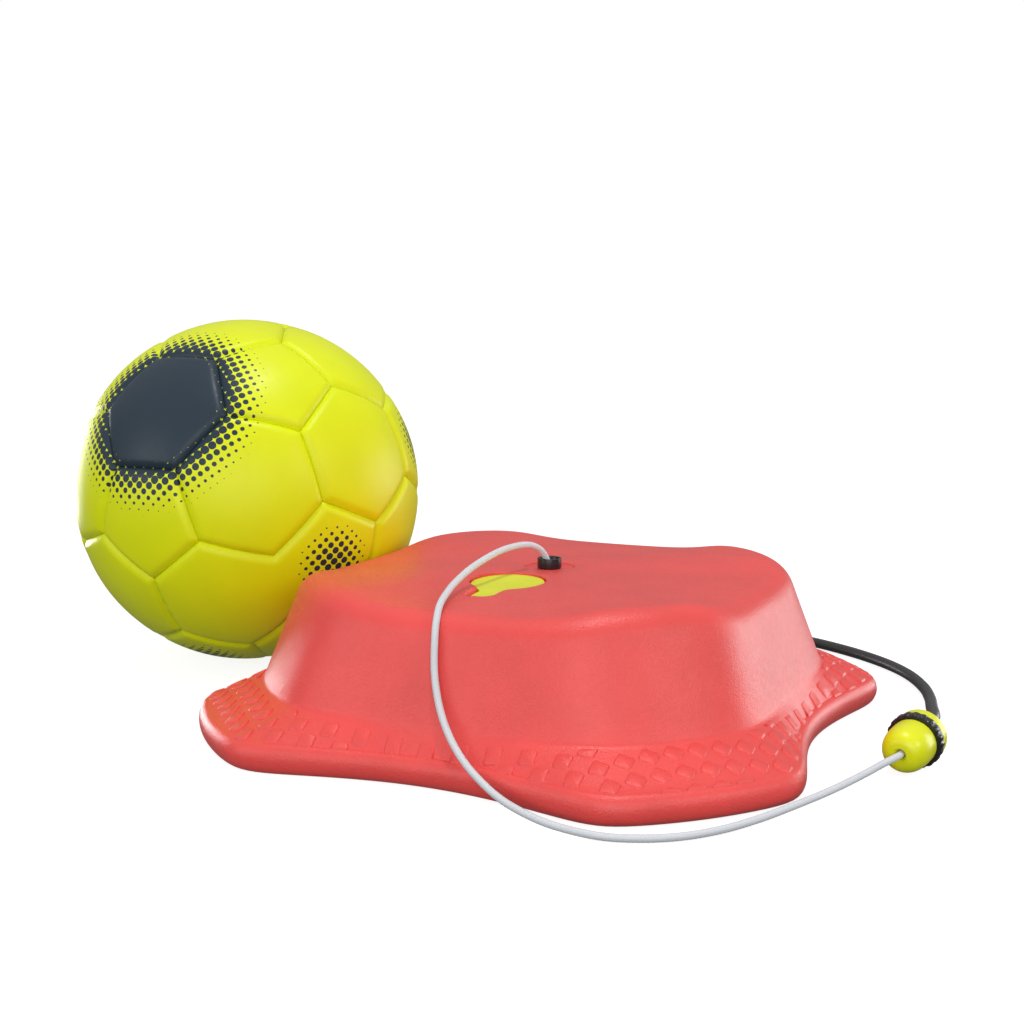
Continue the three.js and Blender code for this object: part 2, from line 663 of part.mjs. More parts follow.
// White cord: up through the swivel, over the deck and wall, along the ground to the coupling.
const WHITE_ROUTE = [
  [0, 0, 8], [0, 0, 30], [0, 0, 60], [0, 0, 76], [-1.9, -1.3, 83.2], [-5.4, -4.4, 88.4], [-11.3, -9.8, 91.4],
  [-23.1, -22.6, 91.4], [-38, -45.9, 87.1], [-47.1, -65.9, 82.3], [-51.2, -81.6, 79.3], [-53.5, -95.5, 76.7],
  [-54.4, -102.9, 72.7], [-55, -108.6, 66.2], [-55, -115.7, 49.7], [-52.6, -122.9, 36.4], [-48.7, -130.7, 27],
  [-43, -140.5, 19.2], [-35.1, -152.1, 12.9], [-23.7, -166.4, 7.4], [-9.3, -179.9, 4.1], [2, -187.5, 2.9],
  [17.2, -193.8, 2], [32.5, -195.8, 2], [47.9, -193.7, 2], [64.6, -186.5, 2], [82.5, -174.6, 2.3],
  [100.8, -160.5, 3.3], [119.9, -145.6, 5], [136.2, -132.2, 7.2], [148, -122.6, 9.4],
];
const NOSE_ENTRY = [couplingPoint(NOSE_TIP), couplingPoint(17), couplingPoint(12), couplingPoint(8)];
addNode('white_cord', swept([...WHITE_ROUTE, ...NOSE_ENTRY], WHITE_R, 72, 4), 'cord');

// Rubber cord: out of the coupling's tail, around behind the base, and up into the ball's anchor.
const anchorPoint = (along) => BALL_AT.clone().addScaledVector(ANCHOR_AXIS, along).toArray();
const RUBBER_ROUTE = [
  couplingPoint(2), couplingPoint(-6), couplingPoint(TAIL_END - 1), [181.4, -80, 15.4], [187.2, -66.5, 15],
  [195.5, -35.5, 11], [205.7, 2.8, 5.9], [210.9, 32.3, 3.7], [210.8, 59.6, 3.4], [205.1, 85.6, 3.4],
  [190.5, 118, 3.4], [167, 151, 3.4], [135, 180, 3.4], [90, 208, 3.4], [35, 232, 3.4], [-25, 252, 3.4],
  [-72, 262, 4.5], [-108, 255, 13],
];
const ANCHOR_ENTRY = [anchorPoint(SOCKET_HIGH + 14), anchorPoint(SOCKET_HIGH + 2), anchorPoint(SOCKET_LOW + 4.5)];
addNode('rubber_cord', swept([...RUBBER_ROUTE, ...ANCHOR_ENTRY], RUBBER_R, 48, 4), 'rubber');

export default group;
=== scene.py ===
"""Looks for the tetherball set: base, bung, swivel, tether cords, coupling and ball. Metres, +Z up."""
import math

import bpy
from mathutils import Matrix, Vector


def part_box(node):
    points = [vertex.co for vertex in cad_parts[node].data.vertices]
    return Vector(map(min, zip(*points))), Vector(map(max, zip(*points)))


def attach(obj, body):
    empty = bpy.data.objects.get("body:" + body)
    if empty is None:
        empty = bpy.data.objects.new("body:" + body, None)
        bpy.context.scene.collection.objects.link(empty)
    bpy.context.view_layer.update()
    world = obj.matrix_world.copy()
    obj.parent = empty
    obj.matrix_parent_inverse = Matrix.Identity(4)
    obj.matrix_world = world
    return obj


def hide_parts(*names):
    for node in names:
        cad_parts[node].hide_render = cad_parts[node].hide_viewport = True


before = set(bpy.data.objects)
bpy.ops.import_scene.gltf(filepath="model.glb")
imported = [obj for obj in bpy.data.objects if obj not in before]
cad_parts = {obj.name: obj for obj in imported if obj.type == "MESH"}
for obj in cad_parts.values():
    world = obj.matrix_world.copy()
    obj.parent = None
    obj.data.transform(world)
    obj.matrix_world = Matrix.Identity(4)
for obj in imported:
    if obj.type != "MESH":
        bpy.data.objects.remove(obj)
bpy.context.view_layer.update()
MM = 0.001
TAU = 2 * math.pi

# ---------------------------------------------------------------- dimensions
# Millimetres, as in the CAD source. A plan is its lobes' reach, its sides' reach and how the sides bow in.

LOBE_TURN = math.radians(20.5)
CORNER_SHARPNESS = 30
SKIRT_PLAN = (184, 145, 1.33)
FOOT_PLAN = (151.3, 133.2, 1.0)
DECK_PLAN = (133.5, 121, 1.05)
EDGE_HEIGHT = 13.8
EDGE_ROUND = 5.2
FOOT_Z = 25.2
SHOULDER_R = 15
DECK_Z = 78.4
DECK_Z_LOBE = 80.3
DECK_Z_SIDE = 74.5
LOBE_HALF_ANGLE = math.radians(17)
LOBE_BLEND = math.radians(4)
PAN_DEPTH = 3
BOSS_R = 45
DISH_R = 13.5
DISH_DEPTH = 1
STEM_HOLE_R = 5.3
CHAMBER_R = 15
CHAMBER_TOP = 22
PLUG_HOLE_R = 22.3
PLUG_T = 5
BASE_STEPS = 288
FOOT_FILLET = 2.2

FILLER = Vector((-22, -37.4))
TAB_TURN = math.radians(-114)
TAB_REACH = 35.4
TAB_HALF = 6
LID_R = 18.8
LID_TOP = 76.6
LID_FALL = math.tan(math.radians(2.6))
RECESS_FLOOR = 70
RECESS_CLEAR = 0.8
KEY_BLEND = 5
LIP_ROUND = 0.35
LID_ROUND = 0.5
SCOOP_AT = (26, -5, 77)
SCOOP_HALVES = (13, 5.5, 5.5)
NECK_R = 13
NECK_BOTTOM = 61
BUNG_R = 12
SEAL_Z = 66
SEAL_GROOVE = (1.6, 1.8)

WHITE_R = 1.65
RUBBER_R = 3.1
COUPLING_AT = Vector((168.8, -100, 13.6))
COUPLING_TURN = math.radians(-125)
COUPLING_DIP = math.radians(5.5)

BALL_AT = Vector((-181.5, 125.7, 104))
BALL_R = 103.9
SEAM_R = 101
COVER_INNER_R = 100.6
PRINT_TURN = math.radians(-115)
PRINT_TILT = math.radians(56)

# ---------------------------------------------------------------- camera

EYE = Vector((-19.864, -744.224, 210.657))
LOOK_DOWN = math.radians(7.9)

camera_data = bpy.data.cameras.new("camera")
camera_data.lens = 50
camera_data.sensor_width = 36
camera = bpy.data.objects.new("camera", camera_data)
camera.location = EYE * MM
camera.rotation_euler = (math.radians(90) - LOOK_DOWN, 0, 0)
bpy.context.scene.collection.objects.link(camera)
bpy.context.scene.camera = camera

# ---------------------------------------------------------------- mesh helpers


def add_mesh(name, points, faces):
    """A new smooth-shaded object from points in millimetres."""
    mesh = bpy.data.meshes.new(name)
    mesh.from_pydata([Vector(p) * MM for p in points], [], faces)
    mesh.validate()
    mesh.update()
    mesh.shade_smooth()
    obj = bpy.data.objects.new(name, mesh)
    bpy.context.scene.collection.objects.link(obj)
    return obj


def loft_faces(rows, columns, closed_rows=False):
    """Quads between successive rings of a grid whose rings are closed."""
    faces = []
    for r in range(rows if closed_rows else rows - 1):
        a, b = r * columns, ((r + 1) % rows) * columns
        faces += [(a + k, a + (k + 1) % columns, b + (k + 1) % columns, b + k) for k in range(columns)]
    return faces


def loft(name, rings, capped=True, closed_rows=False):
    """An object skinned over rings of equal length, given from the bottom to the top."""
    columns = len(rings[0])
    faces = loft_faces(len(rings), columns, closed_rows)
    if capped:
        faces.append(tuple(reversed(range(columns))))
        faces.append(tuple(range((len(rings) - 1) * columns, len(rings) * columns)))
    return add_mesh(name, [p for ring in rings for p in ring], faces)


def sharpen(obj, degrees=35):
    """Keeps edges above an angle crisp while the rest stays smooth."""
    obj.data.set_sharp_from_angle(angle=math.radians(degrees))
    return obj


def lathe(name, outline, place=Matrix.Identity(4), steps=72, wave=None):
    """Turns a closed [radius, height] outline about Z; wave changes the radius with the angle."""
    rings = []
    for r, z in outline:
        ring = []
        for k in range(steps):
            angle = TAU * k / steps
            radius = wave(r, z, angle) if wave else r
            ring.append(place @ Vector((radius * math.cos(angle), radius * math.sin(angle), z)))
        rings.append(ring)
    return sharpen(loft(name, rings, capped=False, closed_rows=True))


def arc(centre, radius, start, end, steps=6):
    """Points [r, z] on a circle, with angles in degrees."""
    angles = [math.radians(start + (end - start) * k / steps) for k in range(steps + 1)]
    return [(centre[0] + radius * math.cos(a), centre[1] + radius * math.sin(a)) for a in angles]


# ---------------------------------------------------------------- routes


def coupling_frame():
    """Turns a part built along +Z, towards the nose, into the coupling's place."""
    turn = Matrix.Rotation(COUPLING_TURN, 4, "Z") @ Matrix.Rotation(math.radians(90) + COUPLING_DIP, 4, "Y")
    return Matrix.Translation(COUPLING_AT) @ turn


def coupling_point(along):
    return coupling_frame() @ Vector((0, 0, along))


PRINT_TURNED = Matrix.Rotation(PRINT_TURN, 3, "Z") @ Matrix.Rotation(PRINT_TILT, 3, "Y")
PRINT_AXIS = PRINT_TURNED @ Vector((0, 0, 1))
ANCHOR_AXIS = -PRINT_AXIS


def anchor_point(along):
    return BALL_AT + ANCHOR_AXIS * along


WHITE_ROUTE = [
    (0, 0, 8), (0, 0, 30), (0, 0, 60), (0, 0, 76), (-1.9, -1.3, 83.2), (-5.4, -4.4, 88.4),
    (-11.3, -9.8, 91.4), (-23.1, -22.6, 91.4), (-38, -45.9, 87.1), (-47.1, -65.9, 82.3),
    (-51.2, -81.6, 79.3), (-53.5, -95.5, 76.7), (-54.4, -102.9, 72.7), (-55, -108.6, 66.2),
    (-55, -115.7, 49.7), (-52.6, -122.9, 36.4), (-48.7, -130.7, 27), (-43, -140.5, 19.2),
    (-35.1, -152.1, 12.9), (-23.7, -166.4, 7.4), (-9.3, -179.9, 4.1), (2, -187.5, 2.9),
    (17.2, -193.8, 2), (32.5, -195.8, 2), (47.9, -193.7, 2), (64.6, -186.5, 2), (82.5, -174.6, 2.3),
    (100.8, -160.5, 3.3), (119.9, -145.6, 5), (136.2, -132.2, 7.2), (148, -122.6, 9.4),
    *(coupling_point(along) for along in (21, 17, 12, 8)),
]
RUBBER_ROUTE = [
    *(coupling_point(along) for along in (2, -6, -13)), (181.4, -80, 15.4), (187.2, -66.5, 15),
    (195.5, -35.5, 11), (205.7, 2.8, 5.9), (210.9, 32.3, 3.7), (210.8, 59.6, 3.4), (205.1, 85.6, 3.4),
    (190.5, 118, 3.4), (167, 151, 3.4), (135, 180, 3.4), (90, 208, 3.4), (35, 232, 3.4), (-25, 252, 3.4),
    (-72, 262, 4.5), (-108, 255, 13), *(anchor_point(along) for along in (132.9, 120.9, 110.4)),
]


def smooth_route(route, step):
    """Evenly spaced points on the centripetal Catmull-Rom curve through a route."""
    p = [Vector(q) for q in route]
    p = [2 * p[0] - p[1], *p, 2 * p[-1] - p[-2]]
    dense = []
    for i in range(1, len(p) - 2):
        a, b, c, d = p[i - 1:i + 3]
        t = [0.0]
        for q, r in ((a, b), (b, c), (c, d)):
            t.append(t[-1] + math.sqrt((r - q).length))
        for k in range(40):
            u = t[1] + (t[2] - t[1]) * k / 40
            ab = a.lerp(b, (u - t[0]) / (t[1] - t[0]))
            bc = b.lerp(c, (u - t[1]) / (t[2] - t[1]))
            cd = c.lerp(d, (u - t[2]) / (t[3] - t[2]))
            left = ab.lerp(bc, (u - t[0]) / (t[2] - t[0]))
            right = bc.lerp(cd, (u - t[1]) / (t[3] - t[1]))
            dense.append(left.lerp(right, (u - t[1]) / (t[2] - t[1])))
    dense.append(p[-2])
    runs = [(b - a).length for a, b in zip(dense, dense[1:])]
    count = round(sum(runs) / step)
    even, done, i = [dense[0]], 0.0, 0
    for k in range(1, count):
        want = sum(runs) * k / count
        while done + runs[i] < want:
            done += runs[i]
            i += 1
        even.append(dense[i].lerp(dense[i + 1], (want - done) / runs[i]))
    even.append(dense[-1])
    return even


def tube(name, route, radius, step, sides, relief=lambda angle, along: 0):
    """A closed tube with a UV map round and along it, each from 0 to 1, and the points that it follows."""
    path = smooth_route(route, step)
    after, before = path[1:] + path[-1:], path[:1] + path[:-1]
    tangents = [(b - a).normalized() for a, b in zip(before, after)]
    across = tangents[0].orthogonal().normalized()
    rings, along = [], 0.0
    for i, (p, t) in enumerate(zip(path, tangents)):
        across = (across - t * across.dot(t)).normalized()
        other = t.cross(across)
        if i:
            along += (p - path[i - 1]).length
        ring = []
        for k in range(sides):
            angle = TAU * k / sides
            out = across * math.cos(angle) + other * math.sin(angle)
            ring.append(p + out * (radius + relief(angle, along)))
        rings.append(ring)
    obj = loft(name, rings)
    sharpen(obj, 60)
    uv = obj.data.uv_layers.new(name="along")
    for loop in obj.data.loops:
        row, column = divmod(loop.vertex_index, sides)
        uv.data[loop.index].uv = (column / sides, row / (len(path) - 1))
    return obj, path


BRAID_CARRIERS = 5
BRAID_WAVE = 2.0
BRAID_RELIEF = 0.07
BRAID_STEP = 0.45


def braid(angle, along):
    """Relief of two crossing sets of strands."""
    turn, slope = BRAID_CARRIERS * angle, TAU * along / BRAID_WAVE / 2
    return BRAID_RELIEF * math.cos(turn + slope) * math.cos(turn - slope)


white_cord, white_path = tube("tether_white", WHITE_ROUTE, WHITE_R, BRAID_STEP, 30, braid)
rubber_cord, rubber_path = tube("tether_rubber", RUBBER_ROUTE, RUBBER_R, 2, 24)

# ---------------------------------------------------------------- base


def lobe_phase(phi):
    quarter = TAU / 4
    return (phi - LOBE_TURN) % quarter - quarter / 2


def plan_radius(plan, phi):
    lobe, side, bow = plan
    side = side / math.cos(bow * lobe_phase(phi))
    return (side ** -CORNER_SHARPNESS + lobe ** -CORNER_SHARPNESS) ** (-1 / CORNER_SHARPNESS)


def lobeness(phi):
    off_lobe = TAU / 8 - abs(lobe_phase(phi))
    return 1 / (1 + math.exp((off_lobe - LOBE_HALF_ANGLE) / LOBE_BLEND))


def deck_edge(phi):
    return DECK_Z_SIDE + (DECK_Z_LOBE - DECK_Z_SIDE) * lobeness(phi)


def skirt_height(r, phi):
    """Height of the sloping skirt between the foot of the wall and the rounded edge."""
    foot, edge = plan_radius(FOOT_PLAN, phi), plan_radius(SKIRT_PLAN, phi) - EDGE_ROUND
    if r <= edge:
        return FOOT_Z + (EDGE_HEIGHT - FOOT_Z) * (r - foot) / (edge - foot)
    q = min(1.0, (r - edge) / EDGE_ROUND)
    return EDGE_HEIGHT / 2 * (1 + math.sqrt(1 - q * q))


def shoulder(phi):
    """The rounded shoulder in direction phi: its centre, and the angles at which wall and deck meet it."""
    foot, deck, edge = plan_radius(FOOT_PLAN, phi), plan_radius(DECK_PLAN, phi), deck_edge(phi)
    centre = Vector((deck - SHOULDER_R, edge - SHOULDER_R))
    down = Vector((foot, FOOT_Z)) - centre
    start = math.atan2(down.y, down.x) + math.acos(SHOULDER_R / down.length)
    end = math.pi / 2 - math.atan(2 * (DECK_Z - edge) / centre.x)
    return centre, start, end


def on_shoulder(centre, angle):
    return centre + SHOULDER_R * Vector((math.cos(angle), math.sin(angle)))


def deck_height(x, y):
    """Height of the slightly dished or crowned deck, which runs smoothly into the shoulder."""
    phi = math.atan2(y, x)
    centre, _, end = shoulder(phi)
    rim = on_shoulder(centre, end)
    f = min(1.0, math.hypot(x, y) / rim.x)
    return DECK_Z + (rim.y - DECK_Z) * f * f


def underside_points(foot):
    """[radius, height] points from the stem's hole outwards under the base to the standing rim."""
    return [
        (STEM_HOLE_R, CHAMBER_TOP), (CHAMBER_R, CHAMBER_TOP), (CHAMBER_R, PLUG_T), (PLUG_HOLE_R, PLUG_T),
        (PLUG_HOLE_R, 0.4), (PLUG_HOLE_R + 0.4, 0), (BOSS_R - 1, 0), (BOSS_R, 0.3),
        (BOSS_R + 2, PAN_DEPTH - 0.3), (BOSS_R + 3, PAN_DEPTH), (70, PAN_DEPTH), (90, PAN_DEPTH),
        (0.85 * foot, PAN_DEPTH),
        (0.86 * foot, PAN_DEPTH - 0.3), (0.895 * foot, 0.3), (0.9 * foot, 0),
    ]


def edge_points(skirt):
    """[radius, height] points round the skirt's outer edge, from below to above."""
    points = []
    for k in range(25):
        angle = math.radians(-90 + 7.5 * k)
        inset = EDGE_ROUND * (1 - math.cos(angle))
        points.append((skirt - inset, EDGE_HEIGHT / 2 * (1 + math.sin(angle))))
    return points


def fillet_points(before, corner, after):
    """A short curve from before to after that is pulled towards the corner."""
    shares = (0, 0.15, 0.3, 0.45, 0.6, 0.8, 1)
    return [tuple(before.lerp(corner, f).lerp(corner.lerp(after, f), f)) for f in shares]


def base_profile(phi):
    """[radius, height] points of the base's section in direction phi, from the underside over the top."""
    skirt, foot = plan_radius(SKIRT_PLAN, phi), plan_radius(FOOT_PLAN, phi)
    points = underside_points(foot) + edge_points(skirt)
    inner, outer = skirt - EDGE_ROUND, foot + FOOT_FILLET
    for f in (0.2, 0.4, 0.6, 0.8):
        r = inner + (outer - inner) * f
        points.append((r, skirt_height(r, phi)))
    centre, start, end = shoulder(phi)
    corner, wall_top = Vector((foot, FOOT_Z)), on_shoulder(centre, start)
    after = corner + (wall_top - corner).normalized() * FOOT_FILLET
    points += fillet_points(Vector((outer, skirt_height(outer, phi))), corner, after)
    points += [tuple(after.lerp(wall_top, f)) for f in (0.2, 0.4, 0.6, 0.8)]
    points += [tuple(on_shoulder(centre, start + (end - start) * k / 12)) for k in range(13)]
    rim, dish = on_shoulder(centre, end), DISH_R + 0.6
    for k in range(1, 10):
        r = rim.x + (dish - rim.x) * k / 10
        points.append((r, DECK_Z + (rim.y - DECK_Z) * (r / rim.x) ** 2))
    return points + [
        (dish, DECK_Z), (DISH_R + 0.15, DECK_Z - 0.15), (DISH_R, DECK_Z - 0.5),
        (DISH_R - 0.5, DECK_Z - DISH_DEPTH),
        (STEM_HOLE_R + 0.2, DECK_Z - DISH_DEPTH), (STEM_HOLE_R, DECK_Z - DISH_DEPTH - 0.3),
    ]


def build_base_skin():
    columns = [base_profile(TAU * k / BASE_STEPS) for k in range(BASE_STEPS)]
    rings = []
    for row in range(len(columns[0])):
        ring = []
        for k, column in enumerate(columns):
            r, z = column[row]
            phi = TAU * k / BASE_STEPS
            ring.append((r * math.cos(phi), r * math.sin(phi), z))
        rings.append(ring)
    return loft("base_body", rings, capped=False, closed_rows=True)


def tab_point(along, across):
    c, s = math.cos(TAB_TURN), math.sin(TAB_TURN)
    return Vector((FILLER.x + along * c - across * s, FILLER.y + along * s + across * c))


def key_distance(along, across):
    """Signed distance to the bung's plan: a disk and a round-ended bar, blended where they meet."""
    disk = math.hypot(along, across) - LID_R
    beyond = max(0.0, along - (TAB_REACH - TAB_HALF)) if along > 0 else along
    bar = math.hypot(beyond, across) - TAB_HALF
    near = max(0.0, KEY_BLEND - abs(disk - bar)) / KEY_BLEND
    return min(disk, bar) - near * near * KEY_BLEND / 4


def key_outline(clear, count=144):
    """The bung's plan grown by clear, as points about the middle of the disk."""
    points = []
    for k in range(count):
        angle = TAU * k / count
        low, high = 5.0, 60.0
        for _ in range(30):
            r = (low + high) / 2
            if key_distance(r * math.cos(angle), r * math.sin(angle)) < clear:
                low = r
            else:
                high = r
        points.append(tab_point(low * math.cos(angle), low * math.sin(angle)))
    return points


def disk_outline(centre, radius, count=72):
    angles = [TAU * k / count for k in range(count)]
    return [centre + Vector((math.cos(a), math.sin(a))) * radius for a in angles]


def recess_cutter():
    """A cutter of the bung's plan, up from the recess floor, flared at the deck to round its lip."""
    rings = [[(p.x, p.y, RECESS_FLOOR) for p in key_outline(RECESS_CLEAR - 0.5)],
             [(p.x, p.y, RECESS_FLOOR + 0.5) for p in key_outline(RECESS_CLEAR)]]
    for k in range(5):
        angle = math.radians(22.5 * k)
        grow, drop = LIP_ROUND * (1 - math.cos(angle)), LIP_ROUND * (1 - math.sin(angle))
        rings.append([(p.x, p.y, deck_height(*p) - drop) for p in key_outline(RECESS_CLEAR + grow)])
    rings.append([(p.x, p.y, 90) for p in key_outline(RECESS_CLEAR + LIP_ROUND)])
    return loft("key_cutter", rings)


def scoop_cutter():
    """An ellipsoid for the finger scoop beside the tab."""
    long, wide, deep = SCOOP_HALVES
    rings = []
    for k in range(1, 32):
        tilt = math.pi * k / 32
        ring = []
        for m in range(64):
            turn = TAU * m / 64
            p = tab_point(SCOOP_AT[0] + long * math.sin(tilt) * math.cos(turn),
                          SCOOP_AT[1] + wide * math.sin(tilt) * math.sin(turn))
            ring.append((p.x, p.y, SCOOP_AT[2] - deep * math.cos(tilt)))
        rings.append(ring)
    return loft("scoop_cutter", rings)


def cut(obj, cutters):
    """Takes the cutters out of obj and deletes them."""
    for cutter in cutters:
        step = obj.modifiers.new("cut", "BOOLEAN")
        step.operation = "DIFFERENCE"
        step.solver = "EXACT"
        step.object = cutter
    evaluated = obj.evaluated_get(bpy.context.evaluated_depsgraph_get())
    mesh = bpy.data.meshes.new_from_object(evaluated)
    obj.modifiers.clear()
    obj.data = mesh
    for cutter in cutters:
        bpy.data.objects.remove(cutter)
    return obj


def build_base():
    body = build_base_skin()
    neck = [[(p.x, p.y, z) for p in disk_outline(FILLER, NECK_R)] for z in (30, RECESS_FLOOR + 5)]
    cut(body, [recess_cutter(), scoop_cutter(), loft("neck_cutter", neck)])
    return sharpen(body, 30)


base_body = build_base()

# ---------------------------------------------------------------- tread: a checkerboard of low blocks

TREAD_UNIT = 8.35
TREAD_SHIFT = (-1.05, 1.78)
TREAD_LINE = 136
SIDE_SQUEEZE = 0.67
SQUEEZE_REACH = 80
BLOCK_GAP = 0.4
BLOCK_RISE = 0.8
BLOCK_CORNER = 1.6
BLOCK_START = 1.8
BLOCK_MARGIN = 3.8
SMALLEST_BLOCK = 6
# How far a block's outline has moved in by each height above the skirt.
BLOCK_RINGS = ((0, -0.4), (0.05, 0.1 * BLOCK_RISE), (0.45, 0.82 * BLOCK_RISE), (0.75, BLOCK_RISE))


def squeezed(u, v):
    """Narrows the rows in the middle of each side, where the skirt is narrow."""
    out, along = (abs(u), v) if abs(u) > abs(v) else (abs(v), u)
    share = min(1.0, SIDE_SQUEEZE + (1 - SIDE_SQUEEZE) * (along / SQUEEZE_REACH) ** 2)
    moved = TREAD_LINE + (out - TREAD_LINE) * share if out > TREAD_LINE else out
    return (math.copysign(moved, u), v) if abs(u) > abs(v) else (u, math.copysign(moved, v))


def block_outline(u, v, shrink):
    """Outline of one cell's block with rounded corners, moved in by shrink."""
    half, radius = (TREAD_UNIT - BLOCK_GAP) / 2, BLOCK_CORNER - shrink
    points = []
    for su, sv, start in ((1, 1, 0), (-1, 1, 90), (-1, -1, 180), (1, -1, 270)):
        corner = (u + su * (half - BLOCK_CORNER), v + sv * (half - BLOCK_CORNER))
        points += arc(corner, radius, start, start + 90, 4)
    return points


def skirt_place(u, v):
    """Distance and direction of a lattice point from the base's middle."""
    u, v = squeezed(u, v)
    return math.hypot(u, v), math.atan2(v, u) + LOBE_TURN - math.radians(45)


def clears_foot(u, v):
    reach, phi = skirt_place(u, v)
    return reach > plan_radius(FOOT_PLAN, phi) + BLOCK_START


def on_skirt(u, v, shrink, rise):
    """A point of a block: the lattice point put on the skirt, kept between the wall's foot and the edge."""
    reach, phi = skirt_place(u, v)
    low = plan_radius(FOOT_PLAN, phi) + BLOCK_START + shrink
    high = plan_radius(SKIRT_PLAN, phi) - BLOCK_MARGIN - shrink
    r = max(low, min(high, reach))
    return Vector((r * math.cos(phi), r * math.sin(phi), skirt_height(r, phi) + rise))


def outline_area(ring):
    pairs = zip(ring, ring[1:] + ring[:1])
    return abs(sum(a.x * b.y - a.y * b.x for a, b in pairs)) / 2


def build_tread():
    points, faces = [], []
    reach = range(-24, 25)
    for u_step, v_step in ((a, b) for a in reach for b in reach if (a + b) % 2):
        cell = (u_step * TREAD_UNIT + TREAD_SHIFT[0], v_step * TREAD_UNIT + TREAD_SHIFT[1])
        if not any(clears_foot(*p) for p in block_outline(*cell, 0)):
            continue
        rings = []
        for shrink, rise in BLOCK_RINGS:
            rings.append([on_skirt(*p, shrink, rise) for p in block_outline(*cell, shrink)])
        if outline_area(rings[-1]) < SMALLEST_BLOCK:
            continue
        first, columns = len(points), len(rings[0])
        last = first + (len(rings) - 1) * columns
        points += [p for ring in rings for p in ring]
        faces += [tuple(first + i for i in face) for face in loft_faces(len(rings), columns)]
        faces.append(tuple(reversed(range(first, first + columns))))
        faces.append(tuple(range(last, last + columns)))
    return sharpen(add_mesh("base_tread", points, faces), 50)


base_tread = build_tread()

# ---------------------------------------------------------------- bung, swivel and plug

def lid_height(p):
    """Height of the lid's top, which falls towards the tab's end."""
    along = (p - FILLER).dot(Vector((math.cos(TAB_TURN), math.sin(TAB_TURN))))
    return LID_TOP - LID_FALL * along


def build_bung():
    """Lid with a rounded rim and a faintly hollow top."""
    rings = [[(p.x, p.y, RECESS_FLOOR + 0.3) for p in key_outline(-0.4)],
             [(p.x, p.y, RECESS_FLOOR + 0.7) for p in key_outline(0)]]
    for k in range(7):
        angle = math.radians(15 * k)
        inset, drop = LID_ROUND * (1 - math.cos(angle)), LID_ROUND * (1 - math.sin(angle))
        rings.append([(p.x, p.y, lid_height(p) - drop) for p in key_outline(-inset)])
    for inset, drop in ((3.2, 0), (5.2, 0.2)):
        rings.append([(p.x, p.y, lid_height(p) - drop) for p in key_outline(-inset)])
    return sharpen(loft("bung_lid", rings), 40)


bung = build_bung()

GROOVE_R, GROOVE_LOW, GROOVE_HIGH = BUNG_R - SEAL_GROOVE[0], SEAL_Z - SEAL_GROOVE[1], SEAL_Z + SEAL_GROOVE[1]
shank = lathe("bung_shank", [
    (0.01, NECK_BOTTOM + 1), (BUNG_R - 1.4, NECK_BOTTOM + 1),
    *arc((BUNG_R - 1, NECK_BOTTOM + 2), 1, -80, 0, 4),
    (BUNG_R, GROOVE_LOW), (GROOVE_R, GROOVE_LOW), (GROOVE_R, GROOVE_HIGH), (BUNG_R, GROOVE_HIGH),
    (BUNG_R, RECESS_FLOOR + 0.9), (0.01, RECESS_FLOOR + 0.9),
], Matrix.Translation((FILLER.x, FILLER.y, 0)), 48)

DISH_FLOOR = DECK_Z - DISH_DEPTH
collar = lathe("swivel_top", [
    (2.1, 16), (5, 16), (5, DISH_FLOOR + 0.3), (5.9, DISH_FLOOR + 0.3),
    *arc((5.9, DISH_FLOOR + 0.8), 0.5, -60, 0, 3), *arc((6.05, 82.65), 0.35, 0, 90, 4),
    *arc((5.65, 82.65), 0.35, 90, 180, 4), (5.1, 80.7), (4.7, 80.2),
    (4.2, 79.9), (2.6, 79.6), (2.1, 79.1),
], steps=64)
plug = lathe("underside_plug", [
    (0.01, 4.7), (21.2, 4.7), (22, 4.2), (22, 0.6), (21.4, 0), (17, 0), (16.4, 0.6), (15.6, 1.4),
    (5, 1.4), (4.6, 2.6), (0.01, 2.6),
], steps=64)

# ---------------------------------------------------------------- coupling

RING_R = 13.3
RING_HALF = 2.5
RING_RIBS = 20
RIB_DEPTH = 0.4
NOSE_R = 11.2
NOSE_TIP = 21
TAIL_R = 12.4
TAIL_END = -12


def bullet(radius, start, tip, flat, power=2.5, steps=14):
    """[r, z] points from a cylinder's end to a blunt tip whose flat has the given radius."""
    points = []
    for k in range(steps + 1):
        angle = math.radians(90) * k / steps
        r = flat + (radius - flat) * math.cos(angle) ** (2 / power)
        points.append((r, start + (tip - start) * math.sin(angle) ** (2 / power)))
    return points


nose = lathe("coupling_bullet", [
    (6, -8), (8.9, -8), (8.9, RING_HALF + 0.3), (NOSE_R - 0.6, RING_HALF + 0.3), (NOSE_R, RING_HALF + 0.9),
    (NOSE_R, 5.5), *bullet(NOSE_R, 8, NOSE_TIP, 3.4), (2.6, NOSE_TIP - 0.7), (2.05, NOSE_TIP - 1.8),
    (2.05, 15), (6, 15),
], coupling_frame(), 96)

tail = lathe("coupling_cup", [
    (9.2, -RING_HALF - 0.3), (9.2, -8.3), (3.5, -8.3), (3.5, TAIL_END + 0.6), (4.1, TAIL_END),
    (7.4, TAIL_END), *arc((TAIL_R - 5, TAIL_END + 5), 5, -90, 0, 8),
    (TAIL_R, -RING_HALF - 0.9), (TAIL_R - 0.6, -RING_HALF - 0.3),
], coupling_frame(), 96)


def rib_wave(r, z, angle):
    """Flat-topped ribs with narrow valleys on the outside of the lock ring."""
    if r < RING_R - 2:
        return r
    wave = math.cos(RING_RIBS * angle)
    return r - RIB_DEPTH * max(0.0, (0.35 - wave) / 1.35) ** 0.7


